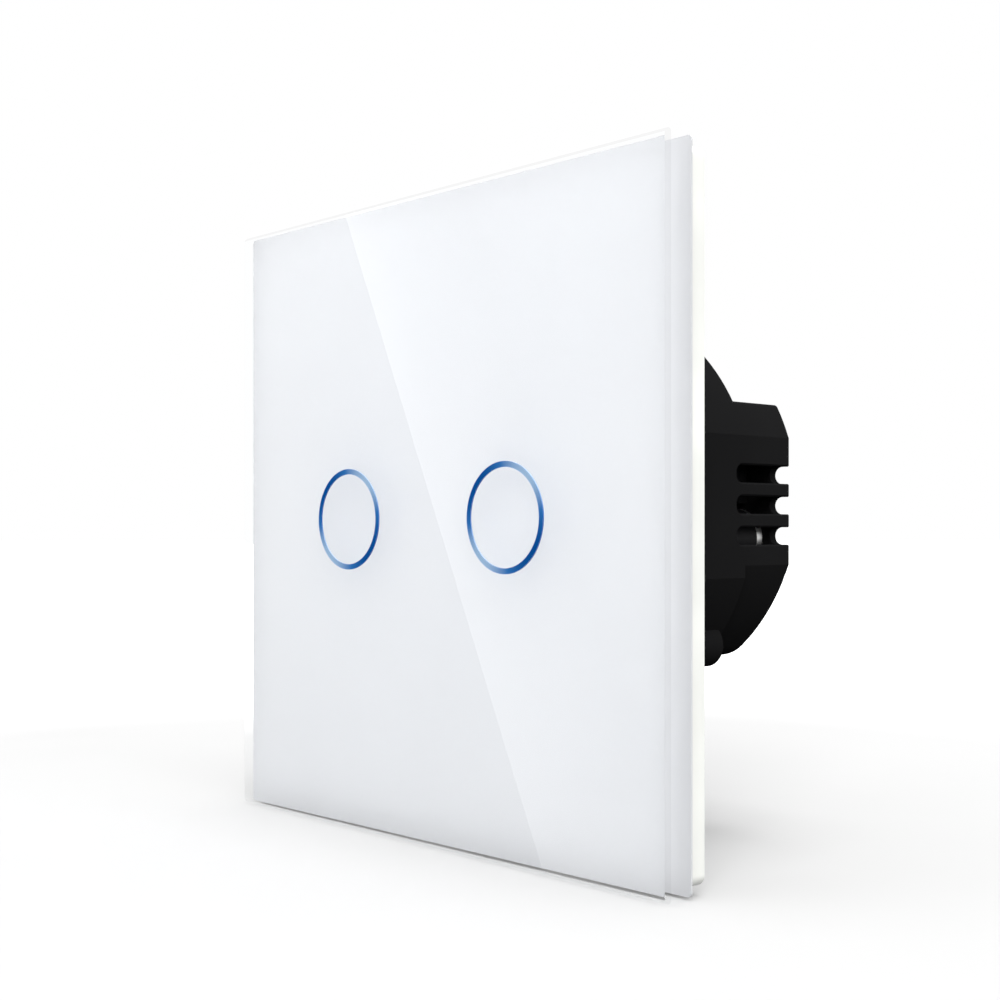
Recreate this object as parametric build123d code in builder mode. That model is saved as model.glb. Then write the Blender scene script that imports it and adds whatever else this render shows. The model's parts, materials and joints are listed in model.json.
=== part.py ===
from build123d import *
import os
from math import atan2, cos, degrees, radians, sin, sqrt

# Touch light switch with two keys, for a round wall box.
# Row frame: X to the right and Z up as seen from the room, Y into the wall.
# The origin is midway between the two box screws, on the wall plane.
# The glass stands in front of the wall (negative Y), the module goes back into the box.

os.makedirs("parts", exist_ok=True)

# Black rear housing: the drum that fits the box, and its tail
drum_r = 26.75
flat_cut = 1.5
step_z = 13.2
step_corner = 0.7
bottom_z = 19.5
low_r = 27.05
low_rise = 2.4
low_corner = 6.0
housing_wall = 2.2
rear_wall = 1.2
rear_edge = 0.15
drum_edge = 0.12
vent_pitch = 3.87
vent_rise = 0.22
vent_count = 3
vent_height = 2.22
vent_length = 10.4
vent_end_r = 1.0
vent_lip = 0.2
lug_inset = 0.45
lug_angle = 41.0
lug_r = 2.8
lug_setback = 1.2
tongue_x = 9.0
tongue_inset = 0.8
tongue_width = 3.6
tongue_thick = 1.2

# Steel mounting plate, whose box screws stand just outside the drum
box_screw_clear = 3.25
box_slot_width = 4.2
box_slot_length = 6.6
plate_edge = 5.5
plate_thick = 0.8
plate_corner = 3.0
bead_length = 26.0
bead_width = 2.4
bead_edge = 5.0
bead_depth_share = 0.36

# White frame round the plate
plate_gap = 2.1
frame_wall = 1.6
frame_depth = 2.7
frame_floor = 1.2
frame_corner = 1.2
frame_notch_width = 14.0
frame_notch_depth = 1.3
head_window_r = 5.0
pad_r = 2.0
pad_edge_x = 4.5
pad_edge_z = 8.5
post_r = 1.5
post_angle = 50.0
post_length = 4.1
post_split = 0.5
post_split_length = 2.6
post_lead = 0.4

# Glass panel, which overhangs the frame
glass_overhang = 0.8
panel_drop = 1.5
glass_thick = 3.8
glass_bevel = 0.45
glass_arris = 0.2
glass_corner = 0.5

# Touch rings
ring_diameter = 13.0
ring_line = 0.65
ring_groove = 0.25

# White print behind the glass and the tape that holds the frame
film_thick = 0.2
film_inset = 0.15
tape_thick = 0.3
tape_width = 4.0
tape_edge = 3.2

# Black cover of the module, which fills the opening of the plate
cover_inset = 2.85
cover_front_gap = 0.3
cover_front = 1.0
cover_wall = 1.0
cover_edge_fillet = 0.35
socket_wall = 1.0
socket_length = 4.2
rest_r = 1.2
rest_inset = 1.6
rest_angle = 15.0

# Countersunk screws that join plate, cover and housing
assembly_shank_r = 1.1
assembly_head_r = 1.9
assembly_length = 9.0
assembly_slot_width = 0.45
assembly_slot_depth = 0.35
countersink_angle = 90

# Circuit boards
touch_board_thick = 1.0
board_thick = 1.6
lead_r = 0.3
header_pitch = 2.54
header_count = 6
header_strip_width = 2.4
header_strip_height = 2.5
header_pin_tip = 0.4
touch_chip_size = 6.0
touch_chip_height = 0.8
touch_chip_z = 9.5
control_chip_width = 4.0
control_chip_length = 5.2
control_chip_height = 1.5
chip_edge = 0.3

# Light guides, lamps and touch springs
guide_margin = 0.7
guide_bore_margin = 0.45
guide_lip = 0.6
guide_flange = 0.2
led_height = 0.5
led_length = 1.6
led_width = 0.9
leds_per_ring = 4
spring_wire_r = 0.22
spring_inset = 1.1
spring_top_r = 2.5
spring_turns = 3

# Parts on the supply side
film_cap_length = 13.0
film_cap_width = 5.2
film_cap_side_gap = 0.85
film_cap_drop = 2.8
film_cap_rear_gap = 0.2
film_cap_edge = 0.4
bulk_cap_r = 4.0
bulk_cap_side_gap = 0.6
bulk_cap_drop = 0.6
bulk_cap_rear_gap = 0.2
bulk_cap_groove = 0.3
bulk_cap_groove_height = 1.6
bulk_cap_sleeve = 0.12
bulk_cap_bare = 1.6
bulk_cap_edge = 0.4
varistor_r = 3.7
varistor_thick = 3.2
varistor_gap = 2.5
fuse_length = 8.2
fuse_width = 3.8
fuse_height = 7.6
part_lead_pitch = 5.0
transformer_width = 10.0
transformer_length = 9.6
transformer_height = 9.0
transformer_limb = 2.2
transformer_lead_z = 3.6

# Terminals
terminal_count = 4
terminal_rib = 2.9
block_side = 4.0
block_end_wall = 1.95
block_low_z = 0.6
block_floor = 1.3
block_roof = 1.7
block_ledge = 0.45
block_edge = 0.3
wire_hole_r = 1.4
wire_from_drum = 2.0
wire_gap = 2.8
cage_gap = 0.25
cage_front_wall = 0.8
cage_rear_wall = 0.9
cage_side_wall = 0.8
cage_travel = 1.6
bar_thick = 0.5
bar_rise = 0.4
bar_pin_half = 0.6
screw_shank_r = 1.45
screw_head_r = 2.5
screw_head_height = 1.2
screw_recess = 0.3
screw_slot_width = 0.7
screw_slot_depth = 0.7

# Relays
relay_width = 10.2
relay_length = 19.0
relay_height = 15.4
relay_gap = 3.0
relay_clear = 3.8
relay_wall = 0.6
relay_base_thick = 1.2
relay_edge = 0.3
relay_pin_r = 0.4
hinge_inset = 2.0
yoke_thick = 1.0
yoke_side = 1.3
yoke_top = 3.35
core_share = 0.45
pole_lip = 0.4
pole_thick = 0.6
pole_gap = 0.55
bobbin_wall = 0.7
bobbin_yoke_gap = 0.7
bobbin_contact_gap = 0.9
bobbin_lip = 0.2
armature_thick = 1.0
armature_side = 1.1
armature_overhang = 1.7
armature_tail = 0.5
blade_thick = 0.25
blade_half = 2.2
blade_end_gap = 1.6
contact_inset = 1.4
contact_r = 1.1
contact_height = 0.7
contact_gap = 0.95
contact_arm = 0.55
contact_post = 0.6

# Clearances and the overrun of cuts
fit_gap = 0.05
seat_gap = 0.1
part_gap = 0.15
body_gap = 0.3
overrun = 1.0

# Widths of the housing, from the drum inwards
flat_half = drum_r - flat_cut
step_half = sqrt(drum_r**2 - step_z**2)
flat_inside = flat_half - housing_wall
lug_ring_r = drum_r - lug_inset
lug_x = lug_ring_r * cos(radians(lug_angle))
lug_z = -lug_ring_r * sin(radians(lug_angle))
lug_places = [(-lug_x, lug_z), (lug_x, lug_z)]
vent_places = [vent_rise + (n - (vent_count - 1) / 2) * vent_pitch for n in range(vent_count)]
notch_length = housing_wall + vent_height
notch_x = flat_inside + notch_length / 2
tongue_reach = tongue_x + tongue_width / 2
tongue_z = sqrt((drum_r - tongue_inset) ** 2 - tongue_reach**2) - tongue_thick / 2
tongue_places = [(-tongue_x, tongue_z), (tongue_x, tongue_z)]

# Widths of plate, frame and glass, from the drum outwards
box_screw_pitch = 2 * (drum_r + box_screw_clear)
box_screw_places = [(-box_screw_pitch / 2, 0), (box_screw_pitch / 2, 0)]
plate_size = box_screw_pitch + 2 * plate_edge
bead_z = plate_size / 2 - bead_edge
frame_inner = plate_size + 2 * plate_gap
frame_size = frame_inner + 2 * frame_wall
panel_size = frame_size + 2 * glass_overhang
panel_z = -panel_drop
frame_low_z = panel_z - frame_size / 2
pad_x = plate_size / 2 - pad_edge_x
pad_z = plate_size / 2 - pad_edge_z
pad_places = [(x, z) for x in (-pad_x, pad_x) for z in (-pad_z, pad_z)]
tape_outer = frame_size - 2 * tape_edge
tape_inner = tape_outer - 2 * tape_width

# Cover, its sockets for the posts, and the light guides in it
cover_boss_r = drum_r - cover_inset
cover_bore_r = cover_boss_r - cover_wall
socket_bore_r = post_r + fit_gap
socket_r = socket_bore_r + socket_wall
post_ring_r = cover_boss_r - socket_r - seat_gap
post_x = post_ring_r * cos(radians(post_angle))
post_z = post_ring_r * sin(radians(post_angle))
post_places = [(x, z) for x in (-post_x, post_x) for z in (-post_z, post_z)]
rest_ring_r = cover_bore_r - rest_inset
rest_x = rest_ring_r * sin(radians(rest_angle))
rest_z = rest_ring_r * cos(radians(rest_angle))
rest_places = [(x, z) for x in (-rest_x, rest_x) for z in (-rest_z, rest_z)]
touch_board_r = cover_bore_r - body_gap
guide_outer_r = ring_diameter / 2 + guide_margin
guide_inner_r = ring_diameter / 2 - ring_line - guide_bore_margin
guide_flange_r = guide_outer_r + guide_lip
ring_x = cover_bore_r - seat_gap - guide_flange_r
ring_places = [(-ring_x, panel_z), (ring_x, panel_z)]
led_ring_r = (guide_outer_r + guide_inner_r) / 2
spring_base_r = guide_inner_r - spring_inset

# Depths of panel and cover
frame_front = -frame_depth
film_back = frame_front
glass_back = film_back - film_thick
glass_front = glass_back - glass_thick
floor_back = frame_front + frame_floor
tape_back = frame_front + tape_thick
bead_depth = bead_depth_share * (frame_depth - frame_floor - plate_thick)
cover_face = floor_back + cover_front_gap
cover_inside = cover_face + cover_front
guide_front = film_back + body_gap
touch_board_front = cover_inside + guide_flange + led_height
touch_board_back = touch_board_front + touch_board_thick
cover_flange = touch_board_back

# Depths of boards, relays, terminals and housing
relay_front = touch_board_back + relay_clear
board_front = relay_front + relay_height
board_back = board_front + board_thick
drum_depth = board_back + housing_wall
lug_back = drum_depth - lug_setback
wire_y = drum_depth + wire_from_drum
bar_front_y = wire_y + wire_gap / 2
bar_back_y = bar_front_y + bar_thick
screw_tip_y = bar_back_y + fit_gap
cage_front_y = wire_y - wire_gap / 2 - cage_front_wall
cage_nut_y = screw_tip_y + 2 * seat_gap
cage_back_y = cage_nut_y + cage_rear_wall
pocket_back_y = cage_back_y + cage_travel + seat_gap
screw_ledge_y = pocket_back_y + block_ledge
tail_back = screw_ledge_y + seat_gap + screw_head_height + screw_recess
rear_inside = tail_back - rear_wall

# Terminal block, its pockets and what stands in them
block_half = step_half - block_side
pocket_half = (2 * (block_half - block_end_wall) - (terminal_count - 1) * terminal_rib) / (2 * terminal_count)
terminal_pitch = 2 * pocket_half + terminal_rib
terminal_places = [(n - (terminal_count - 1) / 2) * terminal_pitch for n in range(terminal_count)]
pocket_low_z = block_low_z + block_floor
pocket_high_z = step_z - block_roof
bar_low_z = pocket_low_z + bar_rise
bar_high_z = pocket_high_z - 2 * body_gap
bar_pin_z = bar_low_z + bar_pin_half
cage_half = pocket_half - cage_gap
cage_low_z = bar_low_z + 2 * bar_pin_half + seat_gap
cage_high_z = pocket_high_z - body_gap
bar_half = cage_half - cage_side_wall - body_gap
terminal_z = (cage_low_z + cage_high_z) / 2

# Places on the boards, between the relays and the walls
lead_hole_r = lead_r + part_gap
relay_x = (relay_width + relay_gap) / 2
strip_length = header_count * header_pitch
header_z = -(relay_length / 2 + sqrt(touch_board_r**2 - (strip_length / 2) ** 2)) / 2
header_places = [((n - (header_count - 1) / 2) * header_pitch, header_z) for n in range(header_count)]
transformer_z = (relay_length / 2 + drum_r - housing_wall) / 2
control_chip_x = -(relay_x + relay_width / 2 + flat_inside) / 2

# Row of parts behind the power board: film capacitor at the left wall, fuse, bulk capacitor at the right
film_cap_x = -(flat_inside - film_cap_side_gap - film_cap_length / 2)
film_cap_z = block_low_z - film_cap_drop - film_cap_width / 2
film_cap_height = rear_inside - board_back - film_cap_rear_gap
film_cap_right = film_cap_x + film_cap_length / 2
bulk_cap_x = flat_inside - bulk_cap_side_gap - bulk_cap_r
bulk_cap_z = block_low_z - bulk_cap_drop - bulk_cap_r
bulk_cap_back = rear_inside - bulk_cap_rear_gap
row_gap = (bulk_cap_x - bulk_cap_r - film_cap_right - fuse_length) / 2
fuse_x = film_cap_right + row_gap + fuse_length / 2
fuse_z = film_cap_z
varistor_z = -(bottom_z - housing_wall - varistor_gap - varistor_thick / 2)

# Relay mechanism, from hinge to contact
relay_half = relay_length / 2 - relay_wall
hinge_z = hinge_inset - relay_half
contact_z = relay_half - blade_end_gap - contact_inset
blade_reach = relay_half - blade_end_gap - hinge_z
bobbin_low_z = hinge_z + yoke_thick / 2 + bobbin_yoke_gap
bobbin_high_z = contact_z - contact_r - contact_post / 2 - bobbin_contact_gap
core_z = (bobbin_low_z + bobbin_high_z) / 2
bobbin_width = relay_width - 2 * relay_wall - 2 * body_gap
bobbin_length = bobbin_high_z - bobbin_low_z
winding_r = min(bobbin_width, bobbin_length) / 2 - bobbin_lip
core_r = core_share * winding_r
pole_r = core_r + pole_lip
yoke_width = relay_width - 2 * relay_wall - 2 * yoke_side
armature_width = relay_width - 2 * relay_wall - 2 * armature_side
armature_reach = core_z - hinge_z + pole_r + armature_overhang


def at_depth(y):
    """Sketch plane at depth y, which faces the room; its first axis is X, its second Z."""
    return Plane.XZ.offset(-y)


def save(piece, label):
    """Name a finished piece and write it to its own file."""
    piece.part.label = label
    export_step(piece.part, f"parts/{label}.step")


def drum_outline(inset):
    """The drum's round outline with its two side flats."""
    Circle(drum_r - inset)
    Rectangle(2 * (flat_half - inset), 2 * drum_r, mode=Mode.INTERSECT)


def tail_outline(inset):
    """The tail's outline: the drum's sides, a flat top and bottom, and a rounder lower part."""
    with BuildSketch(mode=Mode.PRIVATE) as tail:
        Circle(drum_r - inset)
        with Locations((0, low_rise)):
            Circle(low_r - inset, mode=Mode.INTERSECT)
        with Locations((0, -bottom_z + inset)):
            Rectangle(
                2 * (flat_half - inset),
                step_z + bottom_z - 2 * inset,
                align=(Align.CENTER, Align.MIN),
                mode=Mode.INTERSECT,
            )
        fillet(tail.vertices().group_by(Axis.Y)[0], low_corner - inset)
        fillet(tail.vertices().group_by(Axis.Y)[-1], step_corner)
    add(tail.sketch)


# Glass panel with a bevelled front edge and two shallow ring grooves
with BuildPart() as glass_panel:
    with BuildSketch(at_depth(glass_back)):
        with Locations((0, panel_z)):
            RectangleRounded(panel_size, panel_size, glass_corner)
    extrude(amount=glass_thick)
    chamfer(glass_panel.faces().sort_by(Axis.Y)[0].edges(), glass_bevel)
    chamfer(glass_panel.faces().sort_by(Axis.Y)[-1].edges(), glass_arris)
    with BuildSketch(at_depth(glass_front + ring_groove)):
        with Locations(*ring_places):
            Circle(ring_diameter / 2)
            Circle(ring_diameter / 2 - ring_line, mode=Mode.SUBTRACT)
    extrude(amount=ring_groove, mode=Mode.SUBTRACT)
save(glass_panel, "glass_panel")


# Ring inlays, fired into the grooves and flush with the glass
def build_ring(place, label):
    with BuildPart() as ring:
        with BuildSketch(at_depth(glass_front + ring_groove)):
            with Locations(place):
                Circle(ring_diameter / 2)
                Circle(ring_diameter / 2 - ring_line, mode=Mode.SUBTRACT)
        extrude(amount=ring_groove)
    save(ring, label)


for place, label in zip(ring_places, ("touch_ring_left", "touch_ring_right")):
    build_ring(place, label)


# White print coat on the back of the glass
with BuildPart() as print_film:
    with BuildSketch(at_depth(film_back)):
        with Locations((0, panel_z)):
            RectangleRounded(panel_size - 2 * film_inset, panel_size - 2 * film_inset, glass_corner)
    extrude(amount=film_thick)
save(print_film, "print_film")

# Tape ring in a recess of the frame
with BuildPart() as adhesive_tape:
    with BuildSketch(at_depth(tape_back)):
        with Locations((0, panel_z)):
            Rectangle(tape_outer, tape_outer)
            Rectangle(tape_inner, tape_inner, mode=Mode.SUBTRACT)
    extrude(amount=tape_thick)
save(adhesive_tape, "adhesive_tape")

# Frame: floor and rim, windows for the rings and the box screws, pads and split posts
with BuildPart() as panel_frame:
    with BuildSketch(at_depth(0)):
        with Locations((0, panel_z)):
            RectangleRounded(frame_size, frame_size, frame_corner)
    extrude(amount=frame_depth)
    with BuildSketch(at_depth(0)):
        with Locations((0, panel_z)):
            Rectangle(frame_inner, frame_inner)
    extrude(amount=frame_depth - frame_floor, mode=Mode.SUBTRACT)
    with BuildSketch(at_depth(tape_back)):
        with Locations((0, panel_z)):
            Rectangle(tape_outer, tape_outer)
            Rectangle(tape_inner, tape_inner, mode=Mode.SUBTRACT)
    extrude(amount=tape_thick, mode=Mode.SUBTRACT)
    with BuildSketch(at_depth(floor_back)):
        with Locations(*ring_places):
            Circle(guide_outer_r + body_gap)
        with Locations(*box_screw_places):
            Circle(head_window_r)
    extrude(amount=frame_floor, mode=Mode.SUBTRACT)
    with BuildSketch(at_depth(-plate_thick)):
        with Locations(*pad_places):
            Circle(pad_r)
    extrude(amount=frame_depth - frame_floor - plate_thick)
    with BuildSketch(at_depth(floor_back + post_length)):
        with Locations(*post_places):
            Circle(post_r)
    extrude(amount=post_length)
    chamfer(panel_frame.faces().group_by(Axis.Y)[-1].edges(), post_lead)
    with BuildSketch(at_depth(floor_back + post_length)):
        with Locations(*post_places):
            Rectangle(post_split, 2 * post_r)
    extrude(amount=post_split_length, mode=Mode.SUBTRACT)
    with BuildSketch(at_depth(0)):
        with Locations((0, frame_low_z)):
            Rectangle(frame_notch_width, 2 * (frame_wall + overrun))
    extrude(amount=frame_notch_depth, mode=Mode.SUBTRACT)
save(panel_frame, "panel_frame")

# Mounting plate: opening for the module, two box screw slots, pressed beads, screw seats
with BuildPart() as mounting_plate:
    with BuildSketch(at_depth(0)):
        RectangleRounded(plate_size, plate_size, plate_corner)
        Circle(cover_boss_r + part_gap, mode=Mode.SUBTRACT)
        with Locations(*box_screw_places):
            SlotOverall(box_slot_length, box_slot_width, mode=Mode.SUBTRACT)
    extrude(amount=plate_thick)
    with BuildSketch(at_depth(-plate_thick)):
        with Locations((0, -bead_z), (0, bead_z)):
            SlotOverall(bead_length, bead_width)
    extrude(amount=bead_depth)
    with Locations(at_depth(-plate_thick)):
        with Locations(*lug_places):
            CounterSinkHole(
                assembly_shank_r + fit_gap,
                assembly_head_r + fit_gap,
                plate_thick + overrun,
                countersink_angle,
            )
save(mounting_plate, "mounting_plate")

# Module cover: round boss through the plate, flange behind it, post sockets, guide windows
with BuildPart() as module_cover:
    with BuildSketch(at_depth(cover_flange)):
        drum_outline(0)
    extrude(amount=cover_flange)
    with BuildSketch(at_depth(cover_flange)):
        with Locations(*lug_places):
            Circle(lug_r)
    extrude(amount=cover_flange)
    with BuildSketch(at_depth(0)):
        Circle(cover_boss_r)
    extrude(amount=-cover_face)
    fillet(module_cover.faces().sort_by(Axis.Y)[0].edges(), cover_edge_fillet)
    with BuildSketch(at_depth(cover_flange)):
        Circle(cover_bore_r)
    extrude(amount=cover_flange - cover_inside, mode=Mode.SUBTRACT)
    with BuildSketch(at_depth(cover_face + socket_length)):
        with Locations(*post_places):
            Circle(socket_r)
    extrude(amount=socket_length - cover_front)
    with BuildSketch(at_depth(touch_board_front)):
        with Locations(*rest_places):
            Circle(rest_r)
    extrude(amount=touch_board_front - cover_inside)
    with BuildSketch(at_depth(cover_face + socket_length)):
        with Locations(*post_places):
            Circle(socket_bore_r)
    extrude(amount=socket_length, mode=Mode.SUBTRACT)
    with BuildSketch(at_depth(cover_inside)):
        with Locations(*ring_places):
            Circle(guide_outer_r + part_gap)
    extrude(amount=cover_front, mode=Mode.SUBTRACT)
    with BuildSketch(at_depth(cover_flange)):
        with Locations(*lug_places):
            Circle(assembly_shank_r + part_gap)
        with Locations(*tongue_places):
            Rectangle(tongue_width + 2 * part_gap, tongue_thick + 2 * part_gap)
    extrude(amount=cover_flange, mode=Mode.SUBTRACT)
save(module_cover, "module_cover")

# Rear housing: drum and tail, side vents with chamfered lips that end in round notches
# of the rear wall, screw lugs, top tongues and the seat of the terminals
with BuildPart() as rear_housing:
    with BuildSketch(at_depth(drum_depth)):
        drum_outline(0)
    extrude(amount=drum_depth - cover_flange)
    chamfer(rear_housing.faces().sort_by(Axis.Y)[-1].edges(), drum_edge)
    with BuildSketch(at_depth(lug_back)):
        with Locations(*lug_places):
            Circle(lug_r)
    extrude(amount=lug_back - cover_flange)
    with BuildSketch(at_depth(tail_back)):
        tail_outline(0)
    extrude(amount=tail_back - board_back)
    fillet(rear_housing.faces().sort_by(Axis.Y)[-1].edges(), rear_edge)
    with BuildSketch(at_depth(board_back)):
        drum_outline(housing_wall)
        with Locations(*lug_places):
            Circle(lug_r, mode=Mode.SUBTRACT)
    extrude(amount=board_back - cover_flange, mode=Mode.SUBTRACT)
    with BuildSketch(at_depth(rear_inside)):
        tail_outline(housing_wall)
    extrude(amount=rear_inside - board_back, mode=Mode.SUBTRACT)
    with BuildSketch(Plane.XY.offset(block_low_z)):
        with Locations((0, board_back)):
            Rectangle(
                2 * (block_half + seat_gap),
                tail_back - board_back + overrun,
                align=(Align.CENTER, Align.MIN),
            )
    extrude(amount=step_z - block_low_z + seat_gap, mode=Mode.SUBTRACT)
    for side_x in (-flat_half - overrun, flat_inside):
        with BuildSketch(Plane.YZ.offset(side_x)):
            with Locations(*[(tail_back - vent_length, z) for z in vent_places]):
                RectangleRounded(2 * vent_length, vent_height, vent_end_r, align=(Align.MIN, Align.CENTER))
            with Locations((rear_inside, 0)):
                Rectangle(2 * vent_length, 2 * drum_r, align=(Align.MIN, Align.CENTER), mode=Mode.SUBTRACT)
        extrude(amount=housing_wall + overrun, mode=Mode.SUBTRACT)
    for side in (-1, 1):
        with BuildSketch(Plane.YZ.offset(side * (flat_half - vent_lip))):
            with Locations(*[(tail_back - vent_length, z) for z in vent_places]):
                RectangleRounded(2 * vent_length, vent_height, vent_end_r, align=(Align.MIN, Align.CENTER))
        extrude(amount=side * vent_lip, taper=-45, mode=Mode.SUBTRACT)
    with BuildSketch(at_depth(tail_back)):
        with Locations(*[(x, z) for x in (-notch_x, notch_x) for z in vent_places]):
            SlotOverall(notch_length, vent_height)
    extrude(amount=rear_wall, mode=Mode.SUBTRACT)
    with BuildSketch(at_depth(assembly_length + part_gap)):
        with Locations(*lug_places):
            Circle(assembly_shank_r + fit_gap)
    extrude(amount=assembly_length + part_gap - cover_flange, mode=Mode.SUBTRACT)
    with BuildSketch(at_depth(2 * cover_flange)):
        with Locations(*tongue_places):
            Rectangle(tongue_width, tongue_thick)
    extrude(amount=2 * cover_flange - fit_gap)
save(rear_housing, "rear_housing")

# Countersunk screws, from the front of the plate into the lugs of the housing
with BuildPart() as assembly_screws:
    with BuildSketch(at_depth(assembly_length)):
        with Locations(*lug_places):
            Circle(assembly_shank_r)
    extrude(amount=assembly_length)
    with BuildSketch(at_depth(-plate_thick + assembly_head_r - assembly_shank_r)):
        with Locations(*lug_places):
            Circle(assembly_shank_r)
    extrude(amount=assembly_head_r - assembly_shank_r, taper=-45)
    with BuildSketch(at_depth(-plate_thick + assembly_slot_depth)):
        with Locations(*lug_places):
            Rectangle(2 * assembly_head_r, assembly_slot_width)
            Rectangle(assembly_slot_width, 2 * assembly_head_r)
    extrude(amount=assembly_slot_depth, mode=Mode.SUBTRACT)
save(assembly_screws, "assembly_screws")


# Light guides: a flanged ring behind each touch ring
def build_guide(place, label):
    with BuildPart() as guide:
        with BuildSketch(at_depth(cover_inside)):
            with Locations(place):
                Circle(guide_outer_r)
                Circle(guide_inner_r, mode=Mode.SUBTRACT)
        extrude(amount=cover_inside - guide_front)
        with BuildSketch(at_depth(cover_inside + guide_flange)):
            with Locations(place):
                Circle(guide_flange_r)
                Circle(guide_inner_r, mode=Mode.SUBTRACT)
        extrude(amount=guide_flange)
    save(guide, label)


# Touch springs: tapering coils between the board and the back of the panel
spring_height = touch_board_front - film_back - seat_gap - 2 * spring_wire_r
spring_pitch = spring_height / spring_turns
spring_taper = degrees(atan2(spring_top_r - spring_base_r, spring_height))


def build_spring(place, label):
    start = (place[0], touch_board_front - spring_wire_r, place[1])
    with BuildPart() as spring:
        with BuildLine() as coil:
            Helix(spring_pitch, spring_height, spring_base_r, start, (0, -1, 0), spring_taper)
        with BuildSketch(Plane(coil.line @ 0, z_dir=coil.line % 0)):
            Circle(spring_wire_r)
        sweep(path=coil.line, is_frenet=True)
    save(spring, label)


for place, side in zip(ring_places, ("left", "right")):
    build_guide(place, f"light_guide_{side}")
    build_spring(place, f"touch_spring_{side}")

# Touch board behind the cover, with holes for the sockets and the header pins
with BuildPart() as touch_board:
    with BuildSketch(at_depth(touch_board_back)):
        Circle(touch_board_r)
        with Locations(*post_places):
            Circle(socket_r + part_gap, mode=Mode.SUBTRACT)
        with Locations(*header_places):
            Circle(lead_hole_r, mode=Mode.SUBTRACT)
    extrude(amount=touch_board_thick)
save(touch_board, "touch_board")

# Ring lamps on the front of the touch board, under the light guides
with BuildPart() as ring_leds:
    for x, z in ring_places:
        for n in range(leds_per_ring):
            turn = 360 / leds_per_ring * (n + 1 / 2)
            centre = (x + led_ring_r * cos(radians(turn)), z + led_ring_r * sin(radians(turn)))
            with BuildSketch(at_depth(touch_board_front)):
                with Locations(Location(centre, turn)):
                    Rectangle(led_width, led_length)
            extrude(amount=led_height)
save(ring_leds, "ring_leds")

# Touch chip on the back of the touch board
with BuildPart() as touch_chip:
    with BuildSketch(at_depth(touch_board_back + touch_chip_height)):
        with Locations((0, touch_chip_z)):
            Rectangle(touch_chip_size, touch_chip_size)
    extrude(amount=touch_chip_height)
    chamfer(touch_chip.faces().sort_by(Axis.Y)[-1].edges(), chip_edge)
save(touch_chip, "touch_chip")

# Header between the boards: one insulating strip on each board and the long pins
with BuildPart() as board_header:
    with BuildSketch(at_depth(touch_board_back + header_strip_height)):
        with Locations((0, header_z)):
            Rectangle(strip_length, header_strip_width)
    extrude(amount=header_strip_height)
    with BuildSketch(at_depth(board_front)):
        with Locations((0, header_z)):
            Rectangle(strip_length, header_strip_width)
    extrude(amount=header_strip_height)
    with BuildSketch(at_depth(board_front)):
        with Locations(*header_places):
            Circle(lead_r + fit_gap)
    extrude(amount=board_front - touch_board_back, mode=Mode.SUBTRACT)
save(board_header, "board_header")

with BuildPart() as header_pins:
    with BuildSketch(at_depth(board_back)):
        with Locations(*header_places):
            Circle(lead_r)
    extrude(amount=board_back - touch_board_front + header_pin_tip)
save(header_pins, "header_pins")

# Places of the leads that pass through the power board, as X and Z
film_cap_leads = [(film_cap_x - part_lead_pitch, film_cap_z), (film_cap_x + part_lead_pitch, film_cap_z)]
bulk_cap_leads = [(bulk_cap_x - bulk_cap_r / 2, bulk_cap_z), (bulk_cap_x + bulk_cap_r / 2, bulk_cap_z)]
varistor_leads = [(-part_lead_pitch / 2, varistor_z), (part_lead_pitch / 2, varistor_z)]
fuse_leads = [(fuse_x - part_lead_pitch / 2, fuse_z), (fuse_x + part_lead_pitch / 2, fuse_z)]
transformer_leads = [
    (x, transformer_z + z)
    for x in (-transformer_width / 4, transformer_width / 4)
    for z in (-transformer_lead_z, transformer_lead_z)
]
relay_pin_places = [(x, z) for x in (-relay_x, relay_x) for z in (hinge_z, contact_z)]

# Power board against the drum's rear wall, notched round the screw lugs
with BuildPart() as power_board:
    with BuildSketch(at_depth(board_back)):
        drum_outline(housing_wall + part_gap)
        with Locations(*lug_places):
            Circle(lug_r + part_gap, mode=Mode.SUBTRACT)
        with Locations(*header_places, *film_cap_leads, *bulk_cap_leads, *varistor_leads, *fuse_leads):
            Circle(lead_hole_r, mode=Mode.SUBTRACT)
        with Locations(*transformer_leads):
            Circle(lead_hole_r, mode=Mode.SUBTRACT)
        with Locations(*relay_pin_places):
            Circle(relay_pin_r + part_gap, mode=Mode.SUBTRACT)
        with Locations(*[(x, bar_pin_z) for x in terminal_places]):
            Rectangle(2 * (bar_pin_half + part_gap), 2 * (bar_pin_half + part_gap), mode=Mode.SUBTRACT)
    extrude(amount=board_thick)
save(power_board, "power_board")


def pins(places, radius, back, front):
    """Round pins at the given places, from depth back forwards to depth front."""
    with BuildPart(mode=Mode.PRIVATE) as group:
        with BuildSketch(at_depth(back)):
            with Locations(*places):
                Circle(radius)
        extrude(amount=back - front)
    return group.part


def rear_leads(places):
    """Leads of a part on the rear of the power board, trimmed flush with its front."""
    return pins(places, lead_r, board_back, board_front)


# Film capacitor
with BuildPart() as film_capacitor:
    with BuildSketch(at_depth(board_back + film_cap_height)):
        with Locations((film_cap_x, film_cap_z)):
            Rectangle(film_cap_length, film_cap_width)
    extrude(amount=film_cap_height)
    fillet(film_capacitor.edges().filter_by(Axis.Y), film_cap_edge)
    add(rear_leads(film_cap_leads))
save(film_capacitor, "film_capacitor")

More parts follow.
